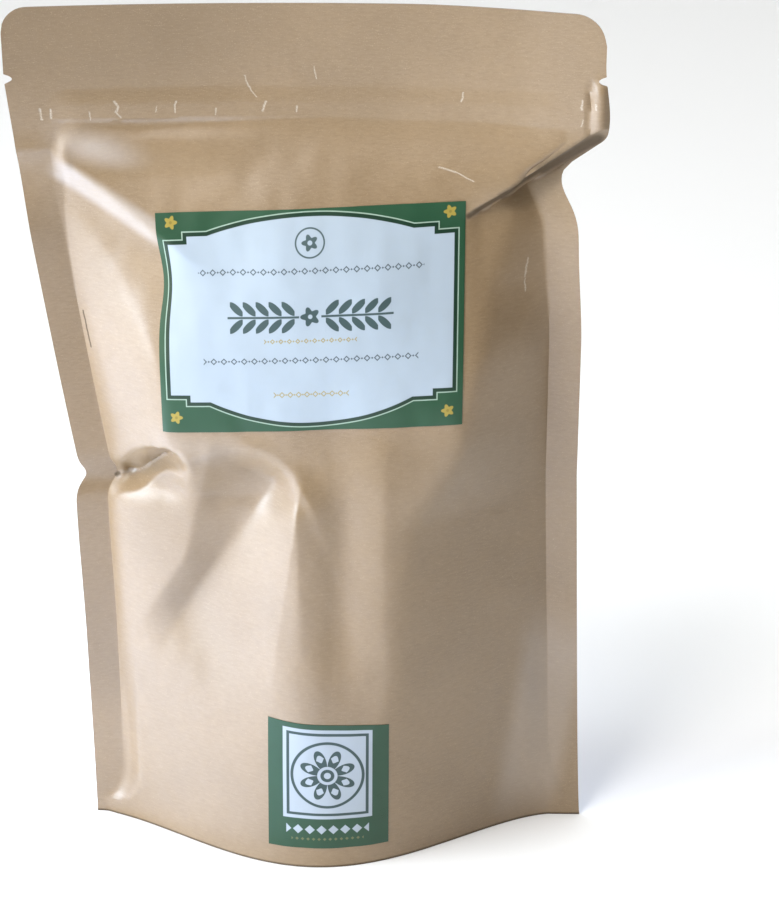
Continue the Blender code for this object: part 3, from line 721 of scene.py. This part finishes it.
def mainLabelLook():
    m = mainLabel
    look = Look("labelPlaque", Specular_IOR_Level=0.5)
    x, y = look.place()
    wide, tall = m["size"]
    across = abs(x - wide / 2)

    def slab(halfWide, low, high):
        return (across - halfWide).most(abs(y - (low + high) / 2) - (high - low) / 2)

    top, foot, steps = m["stepsTop"], m["stepsFoot"], m["stepAcross"]
    plaque = slab(wide / 2 - m["sideMargin"], foot[0], tall - top[0])
    plaque = plaque.least(slab(wide / 2 - steps[0], foot[1], tall - top[1]))
    half = wide / 2 - steps[1]
    arcs = across - half
    for peak, spring, up in ((tall - top[2], tall - top[1], 1.0), (foot[2], foot[1], -1.0)):
        sag = abs(peak - spring)
        radius = (half * half + sag * sag) / (2 * sag)
        dy = y - (peak - up * radius)
        arc = (across * across + dy * dy).root() - radius
        arcs = arcs.most(arc)
    plaque = plaque.least(arcs)
    line = abs(plaque - m["lineOut"]).below(m["lineWide"], 0.05)
    band = plaque.below(m["lineOut"], 0.06)
    white = plaque.below(0.0, 0.07)

    speck = look.noise(look.vector(x, y), 5.0, 2.0, 0.6)
    shade = look.noise(look.vector(x, y), 0.12, 2.0, 0.5)
    green = look.mix((shade - 0.5) * 0.8 + 0.3, m["green"], tuple(c * 1.25 for c in m["green"]))
    colour = look.mix(band, green, m["deepGreen"])
    colour = look.mix(line * 0.75, colour, m["line"])
    paper = look.mix(shade.above(0.5, 0.3) * 0.4, m["white"], tuple(c * 0.95 for c in m["white"]))
    colour = look.mix(white, colour, paper)

    for cy in (foot[0] * 0.40, tall - top[0] * 0.31):  # corner rosettes
        flower, r = rosette(look, across - (wide / 2 - 4.1), y - cy, 1.75)
        colour = look.mix(flower, colour, m["gold"])
        colour = look.mix(r.below(0.42, 0.12) * 0.6, colour, tuple(c * 0.5 for c in m["gold"]))

    # laurel band in the middle: leaves in pairs on a stem, with a small flower between the halves
    cy, period = m["laurelY"], m["laurelStep"]
    up = abs(y - cy)
    cell = (across - 4.2) / period
    local = (cell - cell.math("FLOOR") - 0.5) * period
    u = local * 0.72 + (up - 2.35) * 0.69
    v = (up - 2.35) * 0.72 - local * 0.69
    leaf = ((u * u) / 6.8 + (v * v) / 0.92).below(1.0, 0.10)
    inside = across.below(21.95, 0.05) * across.above(4.2, 0.05)
    stem = up.below(0.30, 0.08) * across.below(22.6, 0.1) * across.above(3.0, 0.1)
    laurel = (leaf * inside * up.below(4.85, 0.1)).most(stem)
    flower, r = rosette(look, x - wide / 2, y - cy, 2.6)
    laurel = laurel.most(flower * r.above(0.6, 0.12))
    colour = look.mix(laurel * 0.94, colour, m["ink"])

    # chains of small open lozenges with dots between
    for cy, halfLong, ink, step, tip in m["chains"]:
        cell = (x - wide / 2) / step
        local = abs(cell - cell.math("FLOOR") - 0.5) * step
        gap = abs(y - cy)
        lozenge = abs(local + gap - tip + 0.20).below(0.21, 0.07)
        dot = (step / 2 - local + gap).below(0.32, 0.08)
        colour = look.mix(lozenge.most(dot) * across.below(halfLong, 0.06) * 0.95, colour, ink)

    # ring with a flower at the top
    dx, dy = x - wide / 2, y - m["ringY"]
    flower, r = rosette(look, dx, dy, 2.2)
    ring = abs(r - m["ringRadius"]).below(0.22, 0.07).most(flower * r.above(0.65, 0.1))
    colour = look.mix(ring * 0.9, colour, m["ink"])

    look.set("Base Color", colour)
    look.set("Roughness", 0.34 + (speck - 0.5) * 0.10 + (shade - 0.5) * 0.08 + white * 0.05)
    look.set("Normal", look.bumped(speck * 0.5 + look.noise(look.vector(x, y), 0.7, 2.0) * 1.2, 0.12, 0.0001))
    return look.material


def squareLabelLook():
    q = squareLabel
    look = Look("labelSquare", Specular_IOR_Level=0.5)
    x, y = look.place()
    left, low, right, high = q["pane"]
    cx, cy = (left + right) / 2, (low + high) / 2
    ax, ay = abs(x - cx), abs(y - cy)
    edge = (ax - (right - left) / 2).most(ay - (high - low) / 2)
    pane = edge.below(0.0, 0.08)
    frameLine = abs(edge + q["lineIn"]).below(q["lineWide"], 0.08)
    shade = look.noise(look.vector(x, y), 0.14, 2.0, 0.5)
    grain = look.noise(look.vector(x, y), 5.0, 2.0, 0.6)
    green = look.mix((shade - 0.5) * 0.8 + 0.3, q["green"], tuple(c * 1.3 for c in q["green"]))
    colour = look.mix(pane, green, q["white"])
    colour = look.mix(frameLine * pane, colour, mainLabel["ink"])
    dx, dy = x - cx, y - cy
    r = (dx * dx + dy * dy).root()
    angle = look.node("ShaderNodeMath", {"operation": "ARCTAN2"}, {0: dy, 1: dx})
    wave = abs((angle * 4.0).sine())  # eight filled petals inside a ring, each with a pale heart
    petal = (r - (wave ** 0.7) * 6.0 - 2.3).below(0.0, 0.1) * r.above(2.9, 0.1)
    heart = (abs(r - 5.6) - (wave ** 3.0) * 1.7 + 0.5).below(0.0, 0.1)
    centre = abs(r - 1.5).below(0.5, 0.1).most(abs(r - 10.2).below(0.42, 0.1))
    colour = look.mix(petal * (1.0 - heart).most(0.0), colour, mainLabel["ink"])
    colour = look.mix(centre, colour, mainLabel["ink"])
    for lineY, halfLong, tip, step, strength, ink in q["rowsOfMarks"]:
        cell = dx / step
        local = abs(cell - cell.math("FLOOR") - 0.5) * step
        mark = (local + abs(y - lineY)).below(tip, 0.1)
        colour = look.mix(mark * abs(dx).below(halfLong, 0.08) * strength, colour, ink)
    look.set("Base Color", colour)
    look.set("Roughness", 0.30 + (grain - 0.5) * 0.10 + (shade - 0.5) * 0.08)
    look.set("Normal", look.bumped(grain * 0.6 + shade, 0.12, 0.0001))
    return look.material


gusset = {
    "leg": 40.0, "skirt": 7.0, "gap": 0.15,
    "columns": 121, "steps": 26, "ends": 0.80,
    "waveDeep": 0.35,
    "mapStart": -300.0,  # its paper coordinates start here, clear of the panels'
}


def buildGusset(material):
    g = gusset
    a, b = float(leftEdge(np.array(0.0))), float(rightEdge(np.array(0.0)))
    u = np.linspace(-g["ends"], g["ends"], g["columns"])
    x = 0.5 * (a + b) + 0.5 * (b - a) * u
    zero, skirt = np.zeros_like(x), np.full_like(x, g["skirt"])
    front = frontInner(x, zero) + g["gap"] * steepness(frontInner, x, zero + 1.0)
    back = backInner(x, zero) - g["gap"] * steepness(backInner, x, zero + 1.0)
    frontTop = frontInner(x, skirt) + g["gap"] * 1.6
    backTop = backInner(x, skirt) - g["gap"] * 1.6
    half, centre = 0.5 * (backTop - frontTop), 0.5 * (backTop + frontTop)
    rise = np.sqrt(np.clip((g["leg"] - g["skirt"]) ** 2 - half ** 2, 1.0, None))
    share = np.linspace(0.0, 1.0, g["steps"])

    def wave(s, k):
        return g["waveDeep"] * softRipple(x / 9.0 + k, s * 4.0 + k) * np.sin(np.pi * s)

    def rib(s, side, k):  # one line of the tent, on its front side (-1) or its back side (1)
        lift = skirt + rise * s ** 0.92 + wave(s, 5.0)
        return np.stack([x, centre + side * half * (1 - s) + wave(s, k), lift], -1)

    path = [np.stack([x, front, zero], -1), np.stack([x, 0.5 * (front + frontTop), skirt / 2], -1)]
    path += [rib(s, -1.0, 0.0) for s in share]
    path += [rib(s, 1.0, 9.0) for s in share[::-1][1:]]
    path += [np.stack([x, 0.5 * (back + backTop), skirt / 2], -1), np.stack([x, back, zero], -1)]
    outer = np.stack(path)
    along = np.gradient(outer, axis=0)
    inward = np.stack([np.zeros_like(along[..., 1]), along[..., 2], -along[..., 1]], -1)
    inward /= np.linalg.norm(inward, axis=-1)[..., None]
    inward[0], inward[-1] = (0, 1, 0), (0, -1, 0)
    inner = outer + inward * pouch["sheet"]
    steps = np.linalg.norm(np.diff(outer[:, g["columns"] // 2], axis=0), axis=-1)
    length = np.cumsum(np.concatenate([[0], steps]))[:, None] + g["mapStart"]
    size = outer.shape[:2]
    uv = np.stack([np.broadcast_to(x, size), np.broadcast_to(length, size)], -1) / 100
    return sheetPiece("gussetSheet", outer, inner, material, uv, 60.0)


# sections as (share of the room between the sheets, height): minus is the front
zipStrip = {
    "low": 213.9, "high": 219.0, "ends": 5.0, "columns": 120,
    "socket": ((-0.96, 0.0), (-0.96, 1.0), (-0.70, 1.0), (-0.66, 0.64), (0.10, 0.62), (0.12, 0.54),
               (-0.18, 0.55), (-0.60, 0.57), (-0.60, 0.38), (-0.18, 0.40), (0.12, 0.41), (0.10, 0.33),
               (-0.66, 0.31), (-0.70, 0.0)),
    "ridge": ((0.96, 0.0), (0.70, 0.0), (0.66, 0.45), (-0.12, 0.455), (-0.34, 0.43), (-0.48, 0.475),
              (-0.34, 0.52), (-0.12, 0.495), (0.66, 0.50), (0.70, 1.0), (0.96, 1.0)),
    "light": (0.80, 0.79, 0.75),
    "shade": (0.72, 0.71, 0.66),
}
frond = {
    "light": (0.36, 0.26, 0.16),
    "dark": (0.16, 0.10, 0.06),
    "pale": (0.50, 0.40, 0.27),
}


def buildStrip(name, section, material):
    s = zipStrip
    share = np.linspace(0.0, 1.0, s["columns"])
    verts, uv = [], []
    for depth, part in section:
        z = np.full_like(share, s["low"] + (s["high"] - s["low"]) * part)
        a, b = leftEdge(z) + pouch["sideSeal"] + s["ends"], rightEdge(z) - pouch["sideSeal"] - s["ends"]
        x = a + (b - a) * share
        taper = ease(0.0, 10.0, x - a + s["ends"]) * ease(0.0, 10.0, b + s["ends"] - x)
        room = pouch["sealGap"] + zipRoom(x, z) * taper
        verts.append(np.stack([x, middle(x, z) + depth * room, z], -1))
        uv.append(np.stack([x, z], -1) / 100.0)
    rows, cols = len(section), s["columns"]
    faces = []
    for i in range(rows):
        k, n = i * cols, ((i + 1) % rows) * cols
        faces += [(k + j, k + j + 1, n + j + 1, n + j) for j in range(cols - 1)]
    faces.append(tuple(i * cols for i in range(rows)))
    faces.append(tuple(i * cols + cols - 1 for i in reversed(range(rows))))
    piece = addPiece(name, np.concatenate(verts), faces, material, np.concatenate(uv), 30.0)
    mesh = piece.data
    volume = sum(p.center.dot(p.normal) * p.area for p in mesh.polygons)
    if volume < 0:
        mesh.flip_normals()
    return piece


def zipLook():
    look = Look("zipFilm", Specular_IOR_Level=0.5)
    place = look.node("ShaderNodeTexCoord", None, None, 3)
    streak = look.noise(place, 90.0, 3.0, 0.6)
    colour = look.mix(streak, zipStrip["shade"], zipStrip["light"])
    look.set("Base Color", colour)
    look.set("Roughness", streak * 0.2 + 0.3)
    look.set("Normal", look.bumped(streak, 0.15, 0.0001))
    return look.material


def frondLook():
    look = Look("driedFrond", Specular_IOR_Level=0.25)
    place = look.node("ShaderNodeTexCoord", None, None, 3)
    cloud = look.noise(place, 60.0, 5.0, 0.65)
    pores = look.node("ShaderNodeTexVoronoi", None, {"Vector": place, "Scale": 900.0})
    colour = look.mix(cloud.above(0.5, 0.15), frond["light"], frond["dark"])
    colour = look.mix(pores.below(0.35, 0.2) * 0.4, colour, frond["pale"])
    look.set("Base Color", colour)
    look.set("Roughness", cloud * 0.2 + 0.75)
    look.set("Normal", look.bumped(cloud * 1.5 + pores * 0.4, 0.6, 0.0006))
    return look.material


frontPaper = kraftLook("kraftFront", frontScuffsAndGlints, 1.0, frontCreaseShade, frontPaintedLight)
backPaper = kraftLook("kraftBack", (), 0.98)
gussetPaper = kraftLook("kraftGusset", (), 0.94)
front = buildPanel("frontSheet", frontInner, pouch["frontRows"], pouch["frontColumns"], -1.0, frontPaper)
back = buildPanel("backSheet", backInner, pouch["backRows"], pouch["backColumns"], 1.0, backPaper)
fold = buildGusset(gussetPaper)
print("sheets built")
plaque = labelPiece("plaqueSticker", mainLabel, mainLabelLook())
square = labelPiece("squareSticker", squareLabel, squareLabelLook())
print("labels stuck on")

for piece, node, slot in ((front, "front_panel", "kraft_front"), (back, "back_panel", "kraft_back"),
                          (fold, "bottom_gusset", "kraft_gusset"), (plaque, "main_label", "label_plaque"),
                          (square, "square_label", "label_square")):
    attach(piece, "root")
    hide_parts(node)

film = zipLook()
for name, node, section in (("socketStrip", "zip_socket", zipStrip["socket"]),
                            ("ridgeStrip", "zip_ridge", zipStrip["ridge"])):
    piece = buildStrip(name, section, film)
    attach(piece, "root")
    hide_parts(node)
dried = frondLook()
for name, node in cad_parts.items():
    if name.startswith("dried"):
        for place in node.material_slots:
            place.material = dried
print("inner pieces finished")


room = {  # metres and watts
    "floor": (0.95, 0.95, 0.95),
    "floorSize": (3.0, 2.6, 0.6),  # half width and reach to the front, distance of the wall, its bend
    "wallHigh": 2.6,
    "lens": 88.0,
    "eye": (24.7, -577.9, 351.9),  # millimetres, in the photo's frame
    "lookDown": 22.0,
    "turn": 0.9,
    "world": (1.0, 1.0, 1.0), "worldStrength": 0.10,
    "window": {"at": (-0.65, -1.11, 0.50), "size": (0.34, 0.45), "watts": 2.4, "colour": (1.0, 0.93, 0.80)},
    "panel": {"at": (-1.11, -0.46, 0.36), "size": (0.7, 0.6), "watts": 18.5, "colour": (0.77, 0.87, 1.0)},
    "key": {"at": (-0.43, -0.69, 1.31), "size": (0.4, 0.4), "watts": 9.2, "colour": (1.0, 0.98, 0.96)},
    "side": {"at": (-0.85, -0.25, 1.28), "size": (0.5, 0.5), "watts": 6.0, "colour": (1.0, 1.0, 0.95)},
    "glow": {"at": (-0.75, 0.45, 0.80), "aim": (-0.30, -0.14, 0.0), "degrees": 37.0, "watts": 210.0,
             "colour": (0.50, 0.66, 1.0), "blend": 1.0, "soft": 0.2},
    "aim": (0.0, 0.0, 0.12),  # of the lights that have none of their own
    "sky": {"at": (0.2, 1.1, 2.1), "aim": (0.2, 1.101, 0.0), "size": (3.4, 3.2), "watts": 39.5,
            "colour": (1.0, 1.0, 0.98)},
}


def addFloor():  # it bends up into the wall behind
    size, back, bend = room["floorSize"]
    profile = [(-size, 0.0), (back - bend, 0.0)]
    for t in np.linspace(0.1, math.pi / 2, 14):
        profile.append((back - bend + bend * math.sin(t), bend - bend * math.cos(t)))
    profile.append((back, room["wallHigh"]))
    verts = [(x, y, z - 0.0001) for x in (-size, size) for y, z in profile]
    n = len(profile)
    faces = [(k, k + 1, k + 1 + n, k + n)[::-1] for k in range(n - 1)]
    mesh = bpy.data.meshes.new("backdrop")
    mesh.from_pydata(verts, [], faces)
    mesh.polygons.foreach_set("use_smooth", [True] * len(mesh.polygons))
    floor = bpy.data.objects.new("backdrop", mesh)
    bpy.context.scene.collection.objects.link(floor)
    look = Look("backdropPaint", Roughness=0.9, Specular_IOR_Level=0.1)
    look.set("Base Color", room["floor"])
    mesh.materials.append(look.material)


def placeLamp(data, spec):
    data.energy, data.color = spec["watts"], spec["colour"]
    lamp = bpy.data.objects.new(data.name, data)
    lamp.location = spec["at"]
    toward = Vector(spec.get("aim", room["aim"])) - Vector(spec["at"])
    lamp.rotation_euler = toward.to_track_quat("-Z", "Y").to_euler()
    bpy.context.scene.collection.objects.link(lamp)


def addLight(name):
    data = bpy.data.lights.new(name, "AREA")
    data.shape, (data.size, data.size_y) = "RECTANGLE", room[name]["size"]
    placeLamp(data, room[name])


def addSpot(name):  # grazes the left facets of the front from behind
    spec = room[name]
    data = bpy.data.lights.new(name, "SPOT")
    data.spot_size, data.spot_blend = math.radians(spec["degrees"]), spec["blend"]
    data.shadow_soft_size = spec["soft"]
    placeLamp(data, spec)


def addCamera():
    camera = bpy.data.objects.new("camera", bpy.data.cameras.new("camera"))
    camera.data.lens = room["lens"]
    camera.data.clip_start = 0.05
    place = np.array(room["eye"]) + np.array(pouch["shift"])
    camera.location = (place * mm).tolist()
    camera.rotation_euler = (math.radians(90.0 - room["lookDown"]), 0.0, math.radians(room["turn"]))
    bpy.context.scene.collection.objects.link(camera)
    bpy.context.scene.camera = camera


addFloor()
for lampName in ("window", "panel", "key", "side"):
    addLight(lampName)
addSpot("glow")
addLight("sky")
addCamera()
world = bpy.data.worlds.new("room")
bpy.context.scene.world = world
world.use_nodes = True
world.node_tree.nodes["Background"].inputs[0].default_value = (*room["world"], 1.0)
world.node_tree.nodes["Background"].inputs[1].default_value = room["worldStrength"]
bpy.context.scene.view_settings.view_transform = "Standard"
print("room lit")
